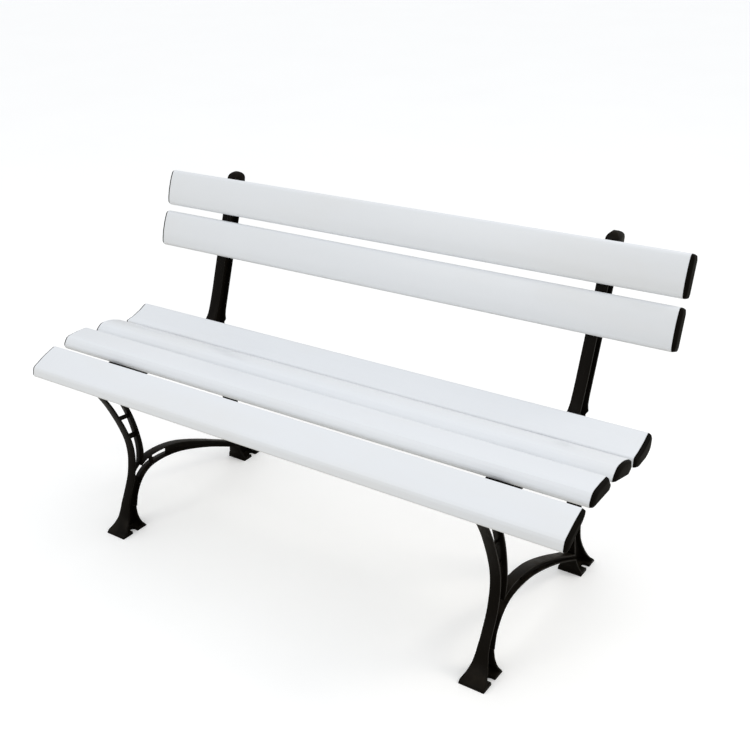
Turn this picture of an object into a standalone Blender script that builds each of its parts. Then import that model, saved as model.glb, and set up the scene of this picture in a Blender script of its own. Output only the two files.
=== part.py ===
"""Garden bench: two cast side frames, four seat slats and two back slats in hollow
plastic, a push-in cap on every slat end, and screws that hold each slat to each frame.

Metres, +Z up. X runs along the bench, the sitter faces -Y, the ground is Z = 0.
The origin is on the ground at the middle of the bench's length and depth.
Every side outline is drawn in the (Y, Z) plane and given its width along X.
"""

import math

import bmesh
import bpy
from mathutils import Matrix, Vector

# ---- driving dimensions -------------------------------------------------------------

BENCH_LENGTH = 1.413          # over the end caps
FRAME_SPACING = 1.021         # between the middle planes of the two side frames, at the ground
FRAME_LEAN = math.radians(0.77)  # of each side frame outward

# Side frame casting
WEB = 0.005                   # thickness of the plate in the frame's middle plane
RIB = 0.0045                  # thickness of the ribs along its edges
RIB_WIDTH = 0.023             # width of those ribs along X, below the seat
FOOT_WIDTH = 0.059            # width of the feet along X
FOOT_PLATE = 0.007            # thickness of the sole under each foot
SEAT_FLANGE_WIDTH = 0.059     # width of the flange that carries the seat slats
SEAT_FLANGE = 0.0065          # its thickness
WAIST_WIDTH = 0.035           # width of the flange between two slats
WAIST_RADIUS = 0.015          # of the hollows in its sides there
BEAM_BOTTOM = 0.384           # underside of the beam below the seat
SLOT_INSET = 0.0004           # from the inner face of a rib to the window beside it
NOTCH_WIDTH = 0.016           # open notch for a ground bolt, on both sides of each foot
NOTCH_DEPTH = 0.018
POST_TOP = 0.797              # tip of the back post
POST_HEAD = 0.030             # solid length at the top of the back post
POST_HEAD_WIDTH = 0.029
POST_WIDTH = 0.026            # width of the back post's ribs along X
POST_DEPTH = 0.035            # square to the post
BOSS_DIAMETER = 0.020         # solid round a bolt through the post

# Slats
WALL = 0.0024                 # wall of the hollow profiles
INNER_RIB = 0.0020            # partitions inside them
BACK_SLAT_WIDTH = 0.091
BACK_SLAT_DEPTH = 0.034
BACK_SLAT_GAP = 0.0165        # between the two back slats
BACK_LEAN = math.radians(20.5)
BACK_FOOT = (0.1945, 0.5945)  # lower edge of the back slats' rear faces, (y, z)

# End caps
CAP_FACE = 0.008              # how far a cap's cushion stands out from the slat
CAP_PLUG = 0.014              # length of the plugs that push into the chambers
# Cushion of a cap: (share of its height, set back from the slat's skin, scale)
CAP_CUSHION = [
    (0.00, 0.0005, 1.00), (0.22, 0.0009, 1.00), (0.50, 0.0018, 1.00), (0.72, 0.0028, 1.00),
    (0.90, 0.0028, 0.88), (0.99, 0.0028, 0.70), (1.00, 0.0028, 0.50),
]
PLUG_CLEARANCE = 0.0005       # plug to chamber wall

# Screws and clearances
SEAT_SCREW = 0.0055           # shank diameter
SEAT_SCREW_SPREAD = 0.041     # between the two screws of one seat slat on one frame
SEAT_SCREW_BITE = 0.012       # length of shank inside the slat
BACK_SCREW = 0.0060
BACK_SCREW_BITE = 0.014
HEAD_FLANGE = 2.1             # washer face under a head, times the shank diameter
HEAD_FLATS = 1.55             # hexagon across flats, times the shank diameter
HEAD_HEIGHT = 0.75            # hexagon height, times the shank diameter
HEAD_WASHER = 0.0012          # thickness of the washer face
HOLE_CLEARANCE = 0.0006       # hole diameter over shank diameter
TOUCH = 0.0003                # gap between pieces that rest on each other

CENTRING = 0.00198            # moves the finished bench back over its origin, along Y
SIDES = {"left": -1, "right": 1}
WIDE = 0.040                  # half width of a solid that is trimmed later
SKY = 2.0                     # above everything

# Side outline of the casting: (z, y of the front edge, y of the rear edge)
FRONT_LEG = [
    (0.000, -0.2870, -0.2080), (0.007, -0.2830, -0.2120), (0.016, -0.2705, -0.2175),
    (0.032, -0.2555, -0.2200), (0.052, -0.2475, -0.2190), (0.075, -0.2395, -0.2130),
    (0.105, -0.2243, -0.1997), (0.135, -0.2104, -0.1816), (0.165, -0.2029, -0.1706),
    (0.195, -0.1994, -0.1666), (0.232, -0.2029, -0.1696), (0.275, -0.2158, -0.1777),
    (0.313, -0.2310, -0.1890), (0.345, -0.2458, -0.2022), (0.380, -0.2658, -0.2202),
    (0.412, -0.2868, -0.2402),
]
REAR_LEG = [
    (0.000, 0.1720, 0.2480), (0.007, 0.1730, 0.2430), (0.018, 0.1710, 0.2320),
    (0.037, 0.1665, 0.2205), (0.071, 0.1642, 0.2038), (0.100, 0.1624, 0.1946),
    (0.150, 0.1588, 0.1902), (0.250, 0.1508, 0.1827), (0.340, 0.1438, 0.1762),
    (0.400, 0.1375, 0.1728),
]
POST_FOOT = [
    (0.385, 0.1380, 0.1720), (0.412, 0.1000, 0.1700), (0.424, 0.1120, 0.1705),
    (0.438, 0.1275, 0.1745), (0.456, 0.1405, 0.1805),
]
# Arch from the front leg to the rear foot: (y, z, depth)
ARCH = [
    (-0.2235, 0.058, 0.0160), (-0.2165, 0.086, 0.0220), (-0.2035, 0.114, 0.0265),
    (-0.1830, 0.137, 0.0290), (-0.1550, 0.1515, 0.0300), (-0.1200, 0.1550, 0.0290),
    (-0.0800, 0.1515, 0.0272), (-0.0400, 0.1425, 0.0245), (0.0100, 0.1245, 0.0208),
    (0.0650, 0.1010, 0.0172), (0.1200, 0.0745, 0.0148), (0.1650, 0.0520, 0.0142),
    (0.1900, 0.0385, 0.0142),
]
# Half widths of the ribs along X, against height: feet, plain ribs, post foot, post head
FOOT_SPREAD = [(0.000, 1.00), (0.009, 0.96), (0.020, 0.62), (0.036, 0.34), (0.058, 0.12), (0.085, 0.0)]
POST_SPREAD = [(0.420, 0.0), (0.428, 0.30), (0.440, 0.13)]

# Windows through the web, as fractions of the front leg's and the arch's length
LEG_WINDOWS = [(0.525, 0.670), (0.690, 0.764), (0.782, 0.955)]
ARCH_WINDOWS = [(0.215, 0.361), (0.385, 0.490)]

# Seat slats: where the middle of the underside rests (y, z), its tilt, the section as
# corners (along the underside towards the rear, up from it, corner radius), and the
# stretch of the underside that the frame's flange runs flat along
SEAT_SLATS = {
    "seat_slat_front": {
        "rest": (-0.2690, 0.4186),
        "tilt": math.radians(29.3),
        "section": [
            (-0.0345, 0.0000, 0.0036), (0.0440, 0.0000, 0.0200), (0.0555, 0.0055, 0.0040),
            (0.0540, 0.0140, 0.0045), (0.0200, 0.0200, 0.1200), (-0.0230, 0.0225, 0.0140),
            (-0.0372, 0.0068, 0.0060),
        ],
        "seat": (-0.030, 0.039),
        "partitions": (-0.012, 0.018),
    },
    "seat_slat_second": {
        "rest": (-0.1550, 0.4370),
        "tilt": 0.0,
        "section": [
            (-0.0420, 0.0000, 0.0060), (0.0360, 0.0000, 0.0050), (0.0430, 0.0090, 0.0040),
            (0.0290, 0.0325, 0.0035), (-0.0100, 0.0330, 0.1500), (-0.0340, 0.0300, 0.0180),
            (-0.0460, 0.0110, 0.0140),
        ],
        "seat": (-0.036, 0.031),
        "partitions": (-0.015, 0.012),
    },
    "seat_slat_third": {
        "rest": (-0.0600, 0.4307),
        "tilt": math.radians(-14.4),
        "section": [
            (-0.0390, 0.0000, 0.0035), (0.0330, 0.0000, 0.0080), (0.0470, 0.0130, 0.0070),
            (0.0390, 0.0310, 0.0040), (0.0060, 0.0350, 0.0500), (-0.0240, 0.0290, 0.0220),
            (-0.0370, 0.0120, 0.0150),
        ],
        "seat": (-0.033, 0.028),
        "partitions": (-0.010, 0.016),
    },
    "seat_slat_rear": {
        "rest": (0.0470, 0.4144),
        "tilt": math.radians(2.7),
        "section": [
            (-0.0230, 0.0000, 0.0200), (0.0200, 0.0000, 0.0300), (0.0420, 0.0130, 0.0150),
            (0.0475, 0.0330, 0.0100), (0.0375, 0.0495, 0.0060), (0.0000, 0.0335, 0.1000),
            (-0.0370, 0.0285, 0.0055), (-0.0395, 0.0070, 0.0080),
        ],
        "seat": (-0.028, 0.015),
        "partitions": (-0.013, 0.014),
    },
}

# Section of a back slat: (up along the slat, out towards the sitter, corner radius)
BACK_SECTION = [
    (0.000, 0.000, 0.0060), (BACK_SLAT_WIDTH, 0.000, 0.0090),
    (BACK_SLAT_WIDTH, BACK_SLAT_DEPTH - 0.004, 0.0090),
    (BACK_SLAT_WIDTH * 0.72, BACK_SLAT_DEPTH, 0.0800),
    (BACK_SLAT_WIDTH * 0.28, BACK_SLAT_DEPTH, 0.0800),
    (0.000, BACK_SLAT_DEPTH - 0.006, 0.0100),
]
BACK_PARTITIONS = (BACK_SLAT_WIDTH * 0.34, BACK_SLAT_WIDTH * 0.66)

COLOURS = {
    "cast_paint": ((0.012, 0.010, 0.008, 1.0), 0.42, 0.0),
    "slat_plastic": ((0.80, 0.81, 0.82, 1.0), 0.38, 0.0),
    "cap_plastic": ((0.010, 0.009, 0.008, 1.0), 0.50, 0.0),
    "zinc": ((0.62, 0.62, 0.60, 1.0), 0.35, 1.0),
}


# ---- scene --------------------------------------------------------------------------

def fresh_scene():
    """Remove the scene's objects and return the collections for parts and cutters."""
    for obj in list(bpy.data.objects):
        bpy.data.objects.remove(obj, do_unlink=True)
    parts = bpy.data.collections.new("garden_bench")
    cutters = bpy.data.collections.new("cutters")
    bpy.context.scene.collection.children.link(parts)
    bpy.context.scene.collection.children.link(cutters)
    return parts, cutters


def material(name):
    colour, roughness, metallic = COLOURS[name]
    made = bpy.data.materials.get(name)
    if made is None:
        made = bpy.data.materials.new(name)
        made.use_nodes = True
        shader = made.node_tree.nodes["Principled BSDF"]
        shader.inputs["Base Color"].default_value = colour
        shader.inputs["Roughness"].default_value = roughness
        shader.inputs["Metallic"].default_value = metallic
    return made


# ---- outlines -----------------------------------------------------------------------

def smooth(points, steps):
    """Points on a smooth curve through the given ones (Catmull-Rom), any dimension."""
    curve = []
    last = len(points) - 1
    for i in range(last):
        before, start = points[max(i - 1, 0)], points[i]
        end, after = points[i + 1], points[min(i + 2, last)]
        for k in range(steps):
            t = k / steps
            curve.append(tuple(
                0.5 * (2 * b + (c - a) * t + (2 * a - 5 * b + 4 * c - d) * t * t
                       + (3 * b - a - 3 * c + d) * t ** 3)
                for a, b, c, d in zip(before, start, end, after)))
    curve.append(tuple(points[-1]))
    return curve


def shifted(line, distance):
    """An open line moved sideways, to its left where the distance is positive."""
    moved = []
    last = len(line) - 1
    for i, point in enumerate(line):
        here = Vector(point)
        into = here - Vector(line[i - 1]) if i > 0 else Vector(line[1]) - here
        out = Vector(line[i + 1]) - here if i < last else into
        first, second = into.normalized(), out.normalized()
        side = Vector((-first.y - second.y, first.x + second.x)).normalized()
        mitre = side.dot(Vector((-first.y, first.x)))
        moved.append(tuple(here + side * distance / max(0.5, mitre)))
    return moved


def rounded(corners):
    """A closed outline with its corners (u, v, radius) turned into arcs."""
    outline = []
    count = len(corners)
    for i in range(count):
        corner = Vector(corners[i][:2])
        to_last = (Vector(corners[i - 1][:2]) - corner)
        to_next = (Vector(corners[(i + 1) % count][:2]) - corner)
        half = to_last.angle(to_next) / 2
        reach = corners[i][2] / math.tan(half)
        reach = min(reach, 0.44 * to_last.length, 0.44 * to_next.length)
        radius = reach * math.tan(half)
        middle = corner + (to_last.normalized() + to_next.normalized()).normalized() * (
            radius / math.sin(half))
        start = corner + to_last.normalized() * reach - middle
        end = corner + to_next.normalized() * reach - middle
        turn = start.angle_signed(end)
        steps = max(1, round(abs(turn) / math.radians(24)))
        for k in range(steps + 1):
            angle = turn * k / steps
            spoke = Matrix.Rotation(-angle, 2) @ start
            outline.append(tuple(middle + spoke))
    return outline


def inset(outline, distance):
    """A closed outline drawn in by a distance; it turns anticlockwise."""
    clean = [p for i, p in enumerate(outline)
             if (Vector(p) - Vector(outline[i - 1])).length > 1e-6]
    count = len(clean)
    drawn = []
    for i in range(count):
        before, here = Vector(clean[i - 1]), Vector(clean[i])
        after = Vector(clean[(i + 1) % count])
        first = (here - before).normalized()
        second = (after - here).normalized()
        normal = Vector((-first.y - second.y, first.x + second.x)).normalized()
        scale = 1 / max(0.35, normal.dot(Vector((-first.y, first.x))))
        drawn.append(tuple(here + normal * distance * scale))
    return drawn


def clipped(outline, axis, low, high):
    """The part of a closed outline whose coordinate on one axis is in a range."""
    for limit, sign in ((low, 1), (high, -1)):
        kept = []
        for i, point in enumerate(outline):
            last = outline[i - 1]
            inside, was_inside = sign * (point[axis] - limit) >= 0, sign * (last[axis] - limit) >= 0
            if inside != was_inside:
                t = (limit - last[axis]) / (point[axis] - last[axis])
                kept.append(tuple(a + (b - a) * t for a, b in zip(last, point)))
            if inside:
                kept.append(point)
        outline = kept
    return outline


def placed(outline, origin, tilt):
    """An outline turned by a tilt and moved from its own axes to (y, z)."""
    turn = Matrix.Rotation(tilt, 2)
    return [tuple(Vector(origin) + turn @ Vector(p)) for p in outline]


# ---- solids -------------------------------------------------------------------------

def plate(name, outlines, x_low, x_high):
    """A flat plate in the (Y, Z) plane; outlines after the first are openings in it."""
    curve = bpy.data.curves.new(name, "CURVE")
    curve.dimensions = "2D"
    curve.fill_mode = "BOTH"
    curve.extrude = (x_high - x_low) / 2
    for outline in outlines:
        spline = curve.splines.new("POLY")
        spline.points.add(len(outline) - 1)
        spline.use_cyclic_u = True
        for point, (y, z) in zip(spline.points, outline):
            point.co = (y, z, 0, 1)
    drawn = bpy.data.objects.new(name + "_outline", curve)
    bpy.context.scene.collection.objects.link(drawn)
    # the curve's x, y and depth become the bench's y, z and x
    drawn.matrix_world = Matrix((
        (0, 0, 1, (x_low + x_high) / 2), (1, 0, 0, 0), (0, 1, 0, 0), (0, 0, 0, 1)))
    bpy.context.view_layer.update()
    graph = bpy.context.evaluated_depsgraph_get()
    mesh = bpy.data.meshes.new_from_object(drawn.evaluated_get(graph))
    mesh.transform(drawn.matrix_world)
    bpy.data.objects.remove(drawn, do_unlink=True)
    weld(mesh)
    return bpy.data.objects.new(name, mesh)


def weld(mesh):
    shape = bmesh.new()
    shape.from_mesh(mesh)
    bmesh.ops.remove_doubles(shape, verts=shape.verts, dist=0.00001)
    bmesh.ops.recalc_face_normals(shape, faces=shape.faces)
    shape.to_mesh(mesh)
    shape.free()


def rod(name, diameter, start, end, sides=20):
    """A cylinder between two points."""
    along = Vector(end) - Vector(start)
    shape = bmesh.new()
    bmesh.ops.create_cone(shape, cap_ends=True, segments=sides, radius1=diameter / 2,
                          radius2=diameter / 2, depth=along.length)
    turn = Vector((0, 0, 1)).rotation_difference(along).to_matrix().to_4x4()
    middle = Matrix.Translation((Vector(start) + Vector(end)) / 2)
    bmesh.ops.transform(shape, matrix=middle @ turn, verts=shape.verts)
    mesh = bpy.data.meshes.new(name)
    shape.to_mesh(mesh)
    shape.free()
    return bpy.data.objects.new(name, mesh)


def combine(target, others, operation, cutters):
    """Join, cut or intersect a mesh object with others, and apply the result."""
    for obj in [target] + others:
        cutters.objects.link(obj)
    for other in others:
        other.hide_render = True
        other.display_type = "WIRE"
        step = target.modifiers.new(operation.lower(), "BOOLEAN")
        step.operation = operation
        step.solver = "EXACT"
        step.object = other
    bpy.context.view_layer.update()
    graph = bpy.context.evaluated_depsgraph_get()
    mesh = bpy.data.meshes.new_from_object(target.evaluated_get(graph))
    target.modifiers.clear()
    target.data = mesh
    cutters.objects.unlink(target)
    for other in others:
        bpy.data.objects.remove(other, do_unlink=True)


def finish(obj, slot, parts, sharp=30):
    obj.data.transform(Matrix.Translation((0, CENTRING, 0)))
    obj.data.materials.clear()
    obj.data.materials.append(material(slot))
    obj.data.shade_smooth()
    obj.data.set_sharp_from_angle(angle=math.radians(sharp))
    parts.objects.link(obj)


# ---- slats and caps -----------------------------------------------------------------

def back_rest(row):
    """Foot of the rear face of back slat 0 (lower) or 1 (upper)."""
    rise = row * (BACK_SLAT_WIDTH + BACK_SLAT_GAP)
    return (BACK_FOOT[0] + rise * math.sin(BACK_LEAN), BACK_FOOT[1] + rise * math.cos(BACK_LEAN))


def slat_sections():
    """Each slat's placing, outer outline, partition places and screw details."""
    slats = {}
    for name, data in SEAT_SLATS.items():
        slats[name] = {
            "origin": data["rest"], "turn": data["tilt"],
            "outline": rounded(data["section"]), "partitions": data["partitions"],
        }
    for row, name in enumerate(("back_slat_lower", "back_slat_upper")):
        # up the slat is +u, and the rear face looks along -v
        slats[name] = {
            "origin": back_rest(row), "turn": math.pi / 2 - BACK_LEAN,
            "outline": rounded(BACK_SECTION), "partitions": BACK_PARTITIONS,
        }
    return slats


def chambers(slat, inset_by):
    """The hollow chambers of a slat, one outline each, in the slat's own axes."""
    hollow = inset(slat["outline"], inset_by)
    lows = [-1.0] + [p + INNER_RIB / 2 + (inset_by - WALL) for p in slat["partitions"]]
    highs = [p - INNER_RIB / 2 - (inset_by - WALL) for p in slat["partitions"]] + [1.0]
    return [clipped(hollow, 0, low, high) for low, high in zip(lows, highs)]


def build_slat(name, slat, holes, parts, cutters):
    half = BENCH_LENGTH / 2 - CAP_FACE - TOUCH
    outlines = [slat["outline"]] + chambers(slat, WALL)
    world = [placed(o, slat["origin"], slat["turn"]) for o in outlines]
    body = plate(name, world, -half, half)
    combine(body, holes, "DIFFERENCE", cutters)
    finish(body, "slat_plastic", parts)


def cushion(name, slat, side):
    """The part of a cap that stands out from the slat, rounded towards its middle."""
    shape = bmesh.new()
    rings = []
    for share, back, scale in CAP_CUSHION:
        outline = [Vector(p) for p in inset(slat["outline"], back)]
        middle = sum(outline, Vector((0, 0))) / len(outline)
        drawn = [tuple(middle + (p - middle) * scale) for p in outline]
        x = side * (BENCH_LENGTH / 2 - CAP_FACE * (1 - share))
        rings.append([shape.verts.new((x, y, z))
                      for y, z in placed(drawn, slat["origin"], slat["turn"])])
    for inner, outer in zip(rings, rings[1:]):
        for i in range(len(inner)):
            shape.faces.new((inner[i - 1], inner[i], outer[i], outer[i - 1]))
    shape.faces.new(rings[0])
    shape.faces.new(rings[-1])
    bmesh.ops.recalc_face_normals(shape, faces=shape.faces)
    mesh = bpy.data.meshes.new(name)
    shape.to_mesh(mesh)
    shape.free()
    return bpy.data.objects.new(name, mesh)


def build_cap(name, slat, side, parts, cutters):
    end = BENCH_LENGTH / 2
    x_plug = sorted((side * (end - CAP_FACE - CAP_PLUG), side * (end - CAP_FACE / 2)))
    body = cushion(name, slat, side)
    plugs = []
    for i, chamber in enumerate(chambers(slat, WALL + PLUG_CLEARANCE)):
        outline = placed(chamber, slat["origin"], slat["turn"])
        plugs.append(plate(f"{name}_plug_{i}", [outline], *x_plug))
    combine(body, plugs, "UNION", cutters)
    finish(body, "cap_plastic", parts)


# ---- screws -------------------------------------------------------------------------

def frame_x(sign, z):
    """Where the middle plane of the left (-1) or right (1) side frame is at a height."""
    return sign * (FRAME_SPACING / 2 + z * math.tan(FRAME_LEAN))


def seat_screw_lines(name, sign):
    """Start under the flange and end inside the slat, for both screws of a seat slat."""
    data = SEAT_SLATS[name]
    middle = frame_x(sign, data["rest"][1])
    up = Vector((-math.sin(data["tilt"]), math.cos(data["tilt"])))
    rest = Vector(data["rest"])
    under = rest - up * (TOUCH + SEAT_FLANGE)
    inside = rest + up * SEAT_SCREW_BITE
    lines = []
    for side in (-1, 1):
        x = middle + side * SEAT_SCREW_SPREAD / 2
        lines.append((Vector((x, *under)), Vector((x, *inside))))
    return lines


def back_screw_line(row, sign):
    """Start behind the post and end inside the slat; a sign of 0 leaves it at X = 0."""
    out = Vector((-math.cos(BACK_LEAN), math.sin(BACK_LEAN)))
    up = Vector((math.sin(BACK_LEAN), math.cos(BACK_LEAN)))
    rest = Vector(back_rest(row)) + up * BACK_SLAT_WIDTH / 2
    behind = rest - out * (TOUCH + POST_DEPTH)
    inside = rest + out * BACK_SCREW_BITE
    x = frame_x(sign, behind.y)
    return Vector((x, *behind)), Vector((x, *inside))


def build_screw(name, line, diameter, parts, cutters):
    """Hexagon head with a washer face, and a plain shank."""
    start, end = line
    along = (end - start).normalized()
    seat = start - along * TOUCH
    washer_end = seat - along * HEAD_WASHER
    head_end = washer_end - along * diameter * HEAD_HEIGHT
    body = rod(name, diameter, washer_end + along * HEAD_WASHER / 2, end, 12)
    washer = rod(name + "_washer", diameter * HEAD_FLANGE, washer_end, seat, 20)
    across_corners = diameter * HEAD_FLATS / math.cos(math.pi / 6)
    head = rod(name + "_head", across_corners, head_end, washer_end + along * HEAD_WASHER / 2, 6)
    combine(body, [washer, head], "UNION", cutters)
    finish(body, "zinc", parts)


def hole(name, line, diameter):
    """A cutter that runs past both ends of a screw's line."""
    start, end = line
    along = (end - start).normalized()
    return rod(name, diameter, start - along * 0.004, end + along * 0.003, 16)


# ---- side frame ---------------------------------------------------------------------

def leg_edges(stations, steps=3):
    curve = smooth(stations, steps)
    front = [(y, z) for z, y, _ in curve]
    rear = [(y, z) for z, _, y in curve]
    return front, rear


def post_edges():
    """Front and rear edges of the back post, from its flared foot over its round head."""
    back = math.tan(BACK_LEAN)
    depth = POST_DEPTH / math.cos(BACK_LEAN)
    gap = TOUCH / math.cos(BACK_LEAN)

    def straight(z):
        front = BACK_FOOT[0] + gap + (z - BACK_FOOT[1]) * back
        return (z, front, front + depth)

    stations = POST_FOOT + [straight(z) for z in (0.500, 0.540, 0.600)]
    front, rear = leg_edges(stations, 2)
    radius = POST_DEPTH / 2
    head_z = POST_TOP - radius
    head = Vector((straight(head_z)[1] + depth / 2, head_z))
    upward = Vector((math.sin(BACK_LEAN), math.cos(BACK_LEAN))) * radius
    rearward = Vector((math.cos(BACK_LEAN), -math.sin(BACK_LEAN))) * radius
    for k in range(8):
        turn = math.pi * k / 8
        front.append(tuple(head - rearward * math.cos(turn) + upward * math.sin(turn)))
    return front, rear + [tuple(head + rearward)]


def arch_edges():
    curve = smooth(ARCH, 2)
    middle = [(y, z) for y, z, _ in curve]
    upper, lower = [], []
    for i, (_, _, depth) in enumerate(curve):
        upper.append(shifted(middle, depth / 2)[i])
        lower.append(shifted(middle, -depth / 2)[i])
    return upper, lower


def between(first, second, inset_by=0.0):
    """Outline between two edges that run the same way, drawn in from both of them."""
    left = shifted(first, -inset_by)
    right = shifted(second, inset_by)
    return left + right[::-1]


def stretch(first, second, start, end, inset_by):
    """Closed piece of a member between two fractions of its length."""
    count = len(first) - 1
    pick = [i for i in range(count + 1) if start <= i / count <= end]

    def cut(line, fraction):
        place = fraction * count
        low = min(int(place), count - 1)
        t = place - low
        return tuple(a + (b - a) * t for a, b in zip(line[low], line[low + 1]))

    left, right = shifted(first, -inset_by), shifted(second, inset_by)
    a = [cut(left, start)] + [left[i] for i in pick] + [cut(left, end)]
    b = [cut(right, start)] + [right[i] for i in pick] + [cut(right, end)]
    return a + b[::-1]


def seat_line():
    """Top of the seat flange, from the front slat to the foot of the back post."""
    line = []
    for data in SEAT_SLATS.values():
        up = Vector((-math.sin(data["tilt"]), math.cos(data["tilt"])))
        along = Vector((math.cos(data["tilt"]), math.sin(data["tilt"])))
        rest = Vector(data["rest"]) - up * TOUCH
        line += [tuple(rest + along * reach) for reach in data["seat"]]
    line.append((0.0960, 0.4235))
    line.append((0.1200, 0.4400))
    return line


def waists():
    """Upright cutters that narrow the seat flange between neighbouring slats."""
    ends = []
    for data in SEAT_SLATS.values():
        ends.append([data["rest"][0] + reach * math.cos(data["tilt"]) for reach in data["seat"]])
    made = []
    for i, (this, following) in enumerate(zip(ends, ends[1:])):
        y = (this[1] + following[0]) / 2
        for side in (-1, 1):
            x = side * (WAIST_WIDTH / 2 + WAIST_RADIUS)
            made.append(rod(f"waist_{i}_{side}", 2 * WAIST_RADIUS, (x, y, 0.3), (x, y, 0.6)))
    return made


def spread_outline():
    """Width of the ribs along X against height: flared feet, plain ribs, rounded head."""
    plain = RIB_WIDTH / 2
    side = [(plain + s * (FOOT_WIDTH / 2 - plain), z) for z, s in FOOT_SPREAD]
    side += [(plain + s * (SEAT_FLANGE_WIDTH / 2 - plain), z) for z, s in POST_SPREAD]
    head = POST_HEAD_WIDTH / 2
    side += [(POST_WIDTH / 2, 0.454), (POST_WIDTH / 2, POST_TOP - 0.060)]
    side.append((head, POST_TOP - 0.026))
    for k in range(7):
        angle = math.radians(15 * k)
        side.append((head * math.cos(angle), POST_TOP - 0.0145 + 0.0145 * math.sin(angle)))
    side[-1] = (0.0, POST_TOP)
    return side + [(-x, z) for x, z in side[-2::-1]]


def spread_solid(name):
    """The width outline, drawn in the (X, Z) plane and run the depth of the bench."""
    outline = spread_outline()
    shape = bmesh.new()
    front = [shape.verts.new((x, -0.5, z)) for x, z in outline]
    face = shape.faces.new(front)
    grown = bmesh.ops.extrude_face_region(shape, geom=[face])
    moved = [v for v in grown["geom"] if isinstance(v, bmesh.types.BMVert)]
    bmesh.ops.translate(shape, verts=moved, vec=(0, 1.0, 0))
    bmesh.ops.recalc_face_normals(shape, faces=shape.faces)
    mesh = bpy.data.meshes.new(name)
    shape.to_mesh(mesh)
    shape.free()
    return bpy.data.objects.new(name, mesh)


def notch(name, y_middle, side):
    """Cutter for one open notch in the sole of a foot."""
    edge = side * FOOT_WIDTH / 2
    deep = edge - side * (NOTCH_DEPTH - NOTCH_WIDTH / 2)
    round_end = rod(name, NOTCH_WIDTH, (deep, y_middle, -0.01), (deep, y_middle, 0.02), 20)
    return round_end


def notch_mouth(name, y_middle, side):
    """Cutter for the straight stretch from the notch's round end to the foot's edge."""
    edge = side * FOOT_WIDTH / 2
    deep = edge - side * (NOTCH_DEPTH - NOTCH_WIDTH / 2)
    low, high = sorted((deep, edge + side * 0.01))
    half = NOTCH_WIDTH / 2
    outline = [(y_middle - half, -0.01), (y_middle + half, -0.01),
               (y_middle + half, 0.02), (y_middle - half, 0.02)]
    return plate(name, [outline], low, high)


def joined(name, outlines, cutters):
    """Members joined to one solid that is wider than the casting, to be trimmed along X."""
    # each member is a little wider than the last, so that no side faces coincide
    members = [plate(f"{name}_{i}", [outline], -WIDE - i * 0.001, WIDE + i * 0.001)
               for i, outline in enumerate(outlines)]
    combine(members[0], members[1:], "UNION", cutters)
    return members[0]


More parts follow.
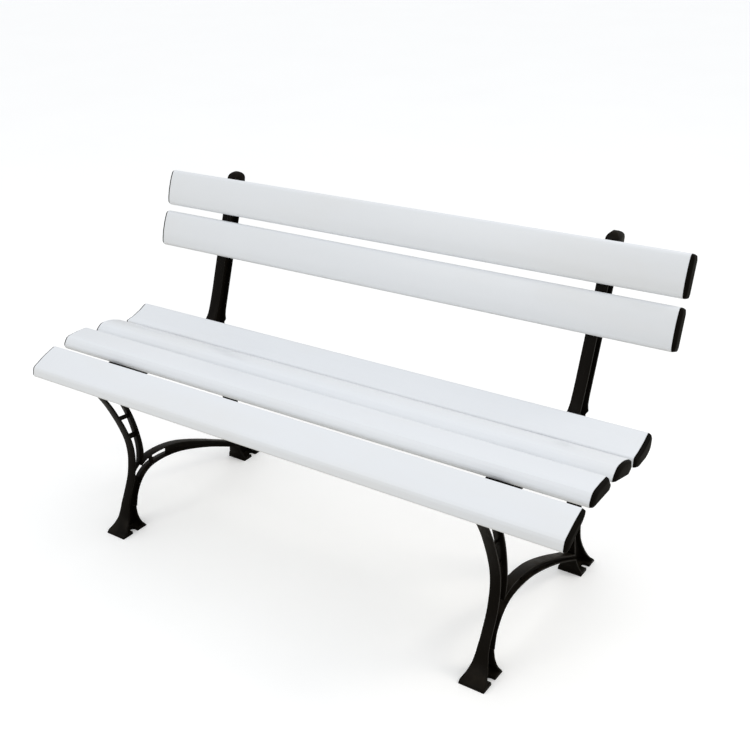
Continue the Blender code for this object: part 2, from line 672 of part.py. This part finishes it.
def build_frame_mesh(cutters):
    """The casting about X = 0: ribs cut to their width, the web, the seat flange."""
    front, rear = leg_edges(FRONT_LEG)
    rear_front, rear_rear = leg_edges(REAR_LEG)
    post_front, post_rear = post_edges()
    arch_top, arch_low = arch_edges()
    seat_top = seat_line()
    beam = [(y, z - SEAT_FLANGE / 2) for y, z in seat_top[:-1] if y > -0.245]
    beam_front_y, beam_rear_y = beam[0][0], 0.150

    # ribs: every member whole, less its pockets, then trimmed to the ribs' width
    beam_rib = [(beam_front_y, BEAM_BOTTOM), (beam_rear_y, BEAM_BOTTOM),
                (beam_rear_y, BEAM_BOTTOM + RIB), (beam_front_y, BEAM_BOTTOM + RIB)]
    ribs = joined("ribs", [
        between(front, rear),
        between(rear_front, rear_rear),
        between(post_front, post_rear),
        between(arch_top, arch_low),
        beam_rib,
    ], cutters)
    pockets = [
        clipped(between(front, rear, RIB), 1, FOOT_PLATE, SKY),
        clipped(between(rear_front, rear_rear, RIB), 1, FOOT_PLATE, 0.405),
        clipped(between(post_front, post_rear, RIB), 1, 0.392, POST_TOP - POST_HEAD),
        between(arch_top, arch_low, RIB * 0.75),
    ]
    cuts = [plate(f"pocket_{i}", [outline], -2 * WIDE, 2 * WIDE) for i, outline in enumerate(pockets)]
    combine(ribs, cuts, "DIFFERENCE", cutters)
    combine(ribs, [spread_solid("spread")], "INTERSECT", cutters)

    # web: the same members, short of the ribs' outer faces, with the windows cut
    web = joined("web", [
        clipped(between(front, rear, RIB / 2), 1, FOOT_PLATE / 2, SKY),
        clipped(between(rear_front, rear_rear, RIB / 2), 1, FOOT_PLATE / 2, SKY),
        clipped(between(post_front, post_rear, RIB / 2), 1, 0.388, POST_TOP - POST_HEAD / 2),
        between(arch_top, arch_low, RIB / 3),
        beam + [(beam_rear_y, BEAM_BOTTOM + RIB / 2), (beam_front_y, BEAM_BOTTOM + RIB / 2)],
    ], cutters)
    windows = [stretch(front, rear, low, high, RIB + SLOT_INSET) for low, high in LEG_WINDOWS]
    windows += [stretch(arch_top, arch_low, low, high, RIB * 0.75 + SLOT_INSET)
                for low, high in ARCH_WINDOWS]
    cuts = [plate(f"window_{i}", [outline], -2 * WIDE, 2 * WIDE) for i, outline in enumerate(windows)]
    combine(web, cuts, "DIFFERENCE", cutters)
    half = WEB / 2
    slab = [(-0.6, -0.1), (0.6, -0.1), (0.6, SKY), (-0.6, SKY)]
    combine(web, [plate("slab", [slab], -half, half)], "INTERSECT", cutters)

    # nothing but the flange itself stands under the slats
    bare = shifted(seat_top[:-2], -SEAT_FLANGE / 2)
    above = bare + [(bare[-1][0], 0.56), (bare[0][0] - 0.05, 0.56), (bare[0][0] - 0.05, bare[0][1])]
    for solid in (ribs, web):
        combine(solid, [plate("above_seat", [above], -2 * WIDE, 2 * WIDE)], "DIFFERENCE", cutters)

    flange_low = shifted(seat_top, -SEAT_FLANGE)
    half_flange = SEAT_FLANGE_WIDTH / 2
    flange = plate("flange", [seat_top + flange_low[::-1]], -half_flange, half_flange)
    combine(flange, waists(), "DIFFERENCE", cutters)
    bosses = [rod(f"boss_{row}", BOSS_DIAMETER, *boss_line(row)) for row in (0, 1)]
    combine(ribs, [web, flange] + bosses, "UNION", cutters)

    cuts = []
    for foot, y_middle in enumerate((sum(FRONT_LEG[0][1:]) / 2, sum(REAR_LEG[0][1:]) / 2)):
        for side in (-1, 1):
            cuts.append(notch(f"notch_{foot}_{side}", y_middle, side))
            cuts.append(notch_mouth(f"notch_mouth_{foot}_{side}", y_middle, side))
    combine(ribs, cuts, "DIFFERENCE", cutters)
    mesh = ribs.data
    bpy.data.objects.remove(ribs, do_unlink=True)
    weld(mesh)
    return mesh


def boss_line(row):
    """Axis of the boss through the post, inside its front and rear faces."""
    start, _ = back_screw_line(row, 0)
    out = Vector((0.0, -math.cos(BACK_LEAN), math.sin(BACK_LEAN)))
    return start + out * 0.001, start + out * (POST_DEPTH - 0.001)


# ---- bench --------------------------------------------------------------------------

def screw_list():
    """For every slat, the name, side, line and shank diameter of each of its screws."""
    screws = {}
    for name in SEAT_SLATS:
        screws[name] = [
            (f"{name}_screw_{side}_{'ab'[i]}", side, line, SEAT_SCREW)
            for side, sign in SIDES.items() for i, line in enumerate(seat_screw_lines(name, sign))]
    for row, name in enumerate(("back_slat_lower", "back_slat_upper")):
        screws[name] = [(f"{name}_bolt_{side}", side, back_screw_line(row, sign), BACK_SCREW)
                        for side, sign in SIDES.items()]
    return screws


def main():
    parts, cutters = fresh_scene()
    slats = slat_sections()
    screws = screw_list()

    casting = build_frame_mesh(cutters)
    for side, sign in SIDES.items():
        frame = bpy.data.objects.new(f"side_frame_{side}", casting.copy())
        lean = Matrix.Shear("XY", 4, (sign * math.tan(FRAME_LEAN), 0))
        frame.data.transform(Matrix.Translation((frame_x(sign, 0), 0, 0)) @ lean)
        holes = [hole(label + "_hole", line, size + HOLE_CLEARANCE)
                 for found in screws.values() for label, where, line, size in found if where == side]
        combine(frame, holes, "DIFFERENCE", cutters)
        weld(frame.data)
        finish(frame, "cast_paint", parts)

    for name, slat in slats.items():
        holes = [hole(label + "_hole", line, size + HOLE_CLEARANCE)
                 for label, _, line, size in screws[name]]
        build_slat(name, slat, holes, parts, cutters)
        for side, sign in SIDES.items():
            build_cap(f"{name}_cap_{side}", slat, sign, parts, cutters)
        for label, _, line, size in screws[name]:
            build_screw(label, line, size, parts, cutters)


main()
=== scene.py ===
"""Looks for a garden bench: two painted castings, six hollow white slats, black end
caps and zinc screws, set on a pale floor in soft light. Metres, +Z up.
"""
import math

import bmesh
import bpy
from mathutils import Matrix, Vector


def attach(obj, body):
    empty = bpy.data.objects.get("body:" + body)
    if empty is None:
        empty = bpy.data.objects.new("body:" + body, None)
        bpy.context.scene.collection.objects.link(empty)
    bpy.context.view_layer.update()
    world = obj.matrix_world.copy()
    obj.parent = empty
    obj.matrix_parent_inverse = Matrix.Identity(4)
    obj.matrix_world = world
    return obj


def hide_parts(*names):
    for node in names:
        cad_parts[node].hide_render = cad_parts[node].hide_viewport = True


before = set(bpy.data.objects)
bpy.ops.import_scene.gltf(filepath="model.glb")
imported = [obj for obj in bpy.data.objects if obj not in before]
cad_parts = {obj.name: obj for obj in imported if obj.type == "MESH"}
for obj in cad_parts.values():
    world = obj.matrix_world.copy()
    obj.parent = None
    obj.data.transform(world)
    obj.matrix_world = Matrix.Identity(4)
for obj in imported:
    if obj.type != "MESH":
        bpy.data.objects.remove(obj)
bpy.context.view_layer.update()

# ---- camera -------------------------------------------------------------------------
# A 50 mm lens stands to the right of the bench, above the sitter's head, and looks
# down at the seat. It was held very slightly off level.

CAMERA_PLACE = (1.3141, -1.7192, 1.4681)
CAMERA_TURN = math.radians(35.23)
CAMERA_HEIGHT = math.radians(25.17)
CAMERA_ROLL = math.radians(-1.87)
LENS = 50.5

back = Vector((math.sin(CAMERA_TURN) * math.cos(CAMERA_HEIGHT),
               -math.cos(CAMERA_TURN) * math.cos(CAMERA_HEIGHT), math.sin(CAMERA_HEIGHT)))
level = (-back).cross(Vector((0, 0, 1))).normalized()
upright = back.cross(level)
right = level * math.cos(CAMERA_ROLL) + upright * math.sin(CAMERA_ROLL)
up = upright * math.cos(CAMERA_ROLL) - level * math.sin(CAMERA_ROLL)
camera = bpy.data.objects.new("camera", bpy.data.cameras.new("camera"))
camera.data.lens = LENS
camera.matrix_world = Matrix.Translation(CAMERA_PLACE) @ Matrix((right, up, back)).transposed().to_4x4()
bpy.context.scene.collection.objects.link(camera)
bpy.context.scene.camera = camera
bpy.context.scene.view_settings.view_transform = "Standard"

# ---- light --------------------------------------------------------------------------
# An even white room, a little cooler overhead than at the horizon, with one broad
# soft lamp in front of the bench and a smaller one that draws the edges of the castings.

ROOM_STRENGTH = 0.86
ROOM_TONES = [(0.0, (0.86, 0.84, 0.80, 1)), (0.46, (0.93, 0.905, 0.86, 1)),
              (0.60, (0.975, 0.97, 0.95, 1)), (1.0, (0.97, 1.0, 1.05, 1))]

room = bpy.data.worlds.new("room")
bpy.context.scene.world = room
room.use_nodes = True
wall = room.node_tree.nodes["Background"]
ways = room.node_tree.nodes.new("ShaderNodeTexCoord")
split = room.node_tree.nodes.new("ShaderNodeSeparateXYZ")
halve = room.node_tree.nodes.new("ShaderNodeMapRange")
tones = room.node_tree.nodes.new("ShaderNodeValToRGB")
halve.inputs["From Min"].default_value = -1
for place, tone in ROOM_TONES[1:-1]:
    tones.color_ramp.elements.new(place)
for stop, (place, tone) in zip(tones.color_ramp.elements, ROOM_TONES):
    stop.position, stop.color = place, tone
room.node_tree.links.new(ways.outputs["Generated"], split.inputs[0])
room.node_tree.links.new(split.outputs["Z"], halve.inputs["Value"])
room.node_tree.links.new(halve.outputs[0], tones.inputs[0])
room.node_tree.links.new(tones.outputs[0], wall.inputs["Color"])
wall.inputs["Strength"].default_value = ROOM_STRENGTH

LAMPS = [  # name, place, watts, side length, colour
    ("front_lamp", (-1.2, -3.2, 3.0), 26, 2.2, (1.0, 0.985, 0.96)),
    ("edge_lamp", (2.6, 1.2, 2.8), 22, 0.9, (1.0, 0.94, 0.86)),
]
for name, place, watts, side, colour in LAMPS:
    lamp = bpy.data.lights.new(name, "AREA")
    lamp.energy, lamp.size, lamp.color = watts, side, colour
    hung = bpy.data.objects.new(name, lamp)
    aim = Vector((0, 0, 0.35)) - Vector(place)
    hung.location = place
    hung.rotation_euler = aim.to_track_quat("-Z", "Y").to_euler()
    bpy.context.scene.collection.objects.link(hung)

# ---- shader nodes and floor ---------------------------------------------------------
# The floor is a sheet of matt white board, a little dusty, that runs past the camera.
# What it throws back at the bench is warmer and weaker than what is seen of it.

FLOOR_SIDE = 40.0


class Sum:
    """A shader value; adding or multiplying it adds a Math node."""

    def __init__(self, tree, socket):
        self.tree, self.socket = tree, socket

    def math(self, operation, *terms):
        node = self.tree.nodes.new("ShaderNodeMath")
        node.operation = operation
        for place, term in zip(node.inputs, terms):
            if isinstance(term, Sum):
                self.tree.links.new(term.socket, place)
            else:
                place.default_value = term
        return Sum(self.tree, node.outputs[0])

    def __add__(self, other):
        return self.math("ADD", self, other)

    def __mul__(self, other):
        return self.math("MULTIPLY", self, other)

    __radd__ = __add__
    __rmul__ = __mul__


class Finish:
    """A material whose nodes are added one at a time, by type."""

    def __init__(self, name, constants):
        self.material = bpy.data.materials.new(name)
        self.material.use_nodes = True
        self.tree = self.material.node_tree
        self.surface = self.tree.nodes["Principled BSDF"]
        self.join(self.surface, constants)

    def join(self, node, sockets):
        for key, value in sockets.items():
            if isinstance(value, Sum):
                self.tree.links.new(value.socket, node.inputs[key])
            else:
                node.inputs[key].default_value = value

    def node(self, kind, sockets, output=0, settings=None):
        made = self.tree.nodes.new("ShaderNode" + kind)
        for key, value in (settings or {}).items():
            setattr(made, key, value)
        self.join(made, sockets)
        return Sum(self.tree, made.outputs[output])

    def place(self, scale=(1, 1, 1)):
        """Position on the object in metres, times a scale along each axis."""
        where = self.node("TexCoord", {}, "Object")
        return self.node("Mapping", {"Vector": where, "Scale": scale})

    def noise(self, scale, detail=2.0, stretch=(1, 1, 1), rough=0.5):
        """Noise from 0 to 1, with so many lumps to a metre."""
        return self.node("TexNoise", {"Vector": self.place(stretch), "Scale": scale,
                                      "Detail": detail, "Roughness": rough}, "Fac")

    def span(self, value, low, high, to_low=0.0, to_high=1.0):
        """A value taken from one range to another, and held inside it."""
        return self.node("MapRange", {"Value": value, "From Min": low, "From Max": high,
                                      "To Min": to_low, "To Max": to_high})

    def blend(self, factor, first, second):
        """One colour where the factor is 0 and another where it is 1."""
        mix = self.tree.nodes.new("ShaderNodeMix")
        mix.data_type = "RGBA"
        for index, value in ((0, factor), (6, first), (7, second)):
            if isinstance(value, Sum):
                self.tree.links.new(value.socket, mix.inputs[index])
            else:
                mix.inputs[index].default_value = value
        return Sum(self.tree, mix.outputs[2])

    def bump(self, height, depth, strength=1.0, normal=None):
        sockets = {"Height": height, "Distance": depth, "Strength": strength}
        if normal is not None:
            sockets["Normal"] = normal
        return self.node("Bump", sockets)

    def upward(self):
        """1 on faces that look up and 0 on faces that look sideways or down."""
        normal = self.node("NewGeometry", {}, "Normal")
        height = self.node("SeparateXYZ", {"Vector": normal}, "Z")
        return self.span(height, 0.35, 0.95)


board = Finish("white_board", {"Roughness": 0.9, "Specular IOR Level": 0.1})
dust = board.span(board.noise(1.6, 3), 0.35, 0.75)
seen = board.node("LightPath", {}, "Is Camera Ray")
paper = board.blend(dust, (0.955, 0.955, 0.95, 1), (0.94, 0.94, 0.935, 1))
board.join(board.surface, {
    "Base Color": board.blend(seen, (0.60, 0.575, 0.52, 1), paper),
    "Emission Color": board.blend(seen, (0.0, 0.0, 0.0, 1), (0.17, 0.169, 0.167, 1)),
    "Emission Strength": 1.0,
})
bpy.ops.mesh.primitive_plane_add(size=FLOOR_SIDE, location=(0, 0, 0))
floor = bpy.context.object
floor.name = "floor"
floor.data.materials.append(board.material)

# ---- side castings ------------------------------------------------------------------
# Two iron castings from one pattern: ribs round a thin web, flared feet with an open
# notch on each side, and a flange under the seat. Dipped in black paint, satin where it
# is clean; faces that look up are painted a lighter brown, partly dust and partly a painted
# highlight standing for the sky they reflect. The sharp edges of the mould are eased.

CAST_EASE = 0.0009        # radius of the eased edges
MERGE = 0.00002           # distance at which loose corners are one
CAST_FLAT = 0.6           # degrees between faces that lie in one plane
CAST_CREASE = 24          # degrees from which an edge is eased
CAST_SMOOTH = 38          # degrees up to which faces shade as one
SQUARE_EDGE = 60          # degrees from which an edge counts as square


def recast(node, name, ease, crease, steps, sawn=1.0):
    """A copy of a part of the frame with its flat faces whole and its edges eased.

    Sawn is how much of the easing the square edges get.
    """
    bpy.ops.object.select_all(action="DESELECT")
    piece = bpy.data.objects.new(name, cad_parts[node].data.copy())
    bpy.context.scene.collection.objects.link(piece)
    bpy.context.view_layer.objects.active = piece
    piece.select_set(True)
    bpy.ops.object.mode_set(mode="EDIT")
    bpy.ops.mesh.select_all(action="SELECT")
    bpy.ops.mesh.remove_doubles(threshold=MERGE)
    bpy.ops.mesh.customdata_custom_splitnormals_clear()
    bpy.ops.mesh.dissolve_limited(angle_limit=math.radians(CAST_FLAT))
    bpy.ops.object.mode_set(mode="OBJECT")
    shape = bmesh.new()
    shape.from_mesh(piece.data)
    weights = shape.edges.layers.float.new("bevel_weight_edge")
    for edge in shape.edges:
        turn = math.degrees(edge.calc_face_angle(0))
        edge[weights] = 0 if turn < crease else 1 if turn < SQUARE_EDGE else sawn
    shape.to_mesh(piece.data)
    shape.free()
    easing = piece.modifiers.new("eased_edges", "BEVEL")
    easing.width, easing.segments = ease, steps
    easing.limit_method = "WEIGHT"
    bpy.ops.object.modifier_apply(modifier=easing.name)
    bpy.ops.object.shade_smooth_by_angle(angle=math.radians(CAST_SMOOTH))
    return piece


def cast_paint():
    paint = Finish("black_cast_paint", {"Specular IOR Level": 0.05})
    cloud = paint.noise(5, 3)
    # Faces that look up are blended toward a lighter brown: partly dust, partly a painted highlight for
    # the sky they reflect.
    dust_and_painted_sheen = paint.upward() * paint.span(paint.noise(38, 4), 0.38, 0.72)
    black = paint.blend(cloud, (0.0022, 0.0017, 0.0012, 1), (0.0060, 0.0046, 0.0030, 1))
    colour = paint.blend(dust_and_painted_sheen * 0.45, black, (0.030, 0.024, 0.017, 1))
    peel = paint.noise(420, 2)
    sand = paint.noise(1500, 2)
    flow = paint.bump(peel, 0.00022, 0.6)
    paint.join(paint.surface, {
        "Base Color": colour,
        "Roughness": paint.span(cloud, 0.3, 0.7, 0.30, 0.42) + dust_and_painted_sheen * 0.2,
        "Normal": paint.bump(sand, 0.00006, 0.5, flow),
    })
    return paint.material


painted = cast_paint()
for side in ("left", "right"):
    casting = recast(f"side_frame_{side}", f"casting_{side}", CAST_EASE, CAST_CREASE, 2)
    casting.data.materials.clear()
    casting.data.materials.append(painted)
    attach(casting, "root")
    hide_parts(f"side_frame_{side}")

# ---- slats --------------------------------------------------------------------------
# Six lengths of hollow white extrusion, cut square and drilled from below or behind.
# The die leaves faint lines along the length, and the surface is satin.

SEAT_SLATS = ("seat_slat_front", "seat_slat_second", "seat_slat_third", "seat_slat_rear")
BACK_SLATS = ("back_slat_lower", "back_slat_upper")
SLAT_EASE = 0.0016        # radius along the edges of the section
SLAT_CREASE = 7
SLAT_SAWN = 0.25          # share of that radius at the sawn ends and drilled holes


def slat_plastic():
    plastic = Finish("white_slat_plastic", {"Specular IOR Level": 0.42})
    tone = plastic.noise(2.3, 3)
    grime = plastic.span(plastic.noise(9, 4, (0.35, 1, 1)), 0.52, 0.80)
    white = plastic.blend(tone, (0.786, 0.812, 0.846, 1), (0.808, 0.832, 0.862, 1))
    colour = plastic.blend(grime * 0.35, white, (0.765, 0.762, 0.748, 1))
    die_lines = plastic.noise(520, 2, (0.004, 1, 1))
    ripple = plastic.noise(36, 1, (0.05, 1, 1))
    grain = plastic.noise(1300, 1)
    waved = plastic.bump(ripple, 0.0003, 0.35)
    drawn = plastic.bump(die_lines, 0.00004, 0.5, waved)
    plastic.join(plastic.surface, {
        "Base Color": colour,
        "Roughness": plastic.span(tone, 0.3, 0.7, 0.30, 0.38) + grime * 0.1,
        "Normal": plastic.bump(grain, 0.00002, 0.4, drawn),
    })
    return plastic.material


white = slat_plastic()
for name in SEAT_SLATS + BACK_SLATS:
    slat = recast(name, name.replace("slat", "board"), SLAT_EASE, SLAT_CREASE, 2, SLAT_SAWN)
    slat.data.materials.clear()
    slat.data.materials.append(white)
    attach(slat, "root")
    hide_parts(name)

# ---- end caps -----------------------------------------------------------------------
# Moulded black covers, one on each end of every slat, held by plugs in its chambers.
# The outside is a low cushion with the fine grain of an etched mould.

CAP_EASE = 0.0003         # radius where the cushion meets its back
CAP_CREASE = 50


def cap_plastic():
    plastic = Finish("black_cap_plastic", {"Specular IOR Level": 0.03})
    patch = plastic.noise(24, 3)
    grain = plastic.noise(2100, 3)
    etched = plastic.bump(grain, 0.00007, 0.7)
    plastic.join(plastic.surface, {
        "Base Color": plastic.blend(patch, (0.0020, 0.0017, 0.0013, 1), (0.0062, 0.0050, 0.0036, 1)),
        "Roughness": plastic.span(patch, 0.3, 0.7, 0.44, 0.58),
        "Normal": plastic.bump(plastic.noise(70, 2), 0.0004, 0.25, etched),
    })
    return plastic.material


black = cap_plastic()
for name in SEAT_SLATS + BACK_SLATS:
    for side in ("left", "right"):
        shown = name.replace("slat", "board")
        cap = recast(f"{name}_cap_{side}", f"{shown}_end_{side}", CAP_EASE, CAP_CREASE, 2)
        cap.data.materials.clear()
        cap.data.materials.append(black)
        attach(cap, "root")
        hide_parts(f"{name}_cap_{side}")

# ---- screws -------------------------------------------------------------------------
# Hexagon head screws with a washer face, zinc plated: two up through the flange into
# each seat slat, and one through the post into each back slat.


def zinc_plate():
    zinc = Finish("zinc_plate", {"Metallic": 1.0})
    dull = zinc.span(zinc.noise(260, 3), 0.35, 0.7)
    zinc.join(zinc.surface, {
        "Base Color": zinc.blend(dull, (0.60, 0.60, 0.57, 1), (0.42, 0.42, 0.40, 1)),
        "Roughness": zinc.span(dull, 0.0, 1.0, 0.26, 0.46),
        "Normal": zinc.bump(zinc.noise(1900, 2), 0.00004, 0.5),
    })
    return zinc.material


plated = zinc_plate()
for name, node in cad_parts.items():
    if "_screw_" in name or "_bolt_" in name:
        for slot in node.material_slots:
            slot.material = plated
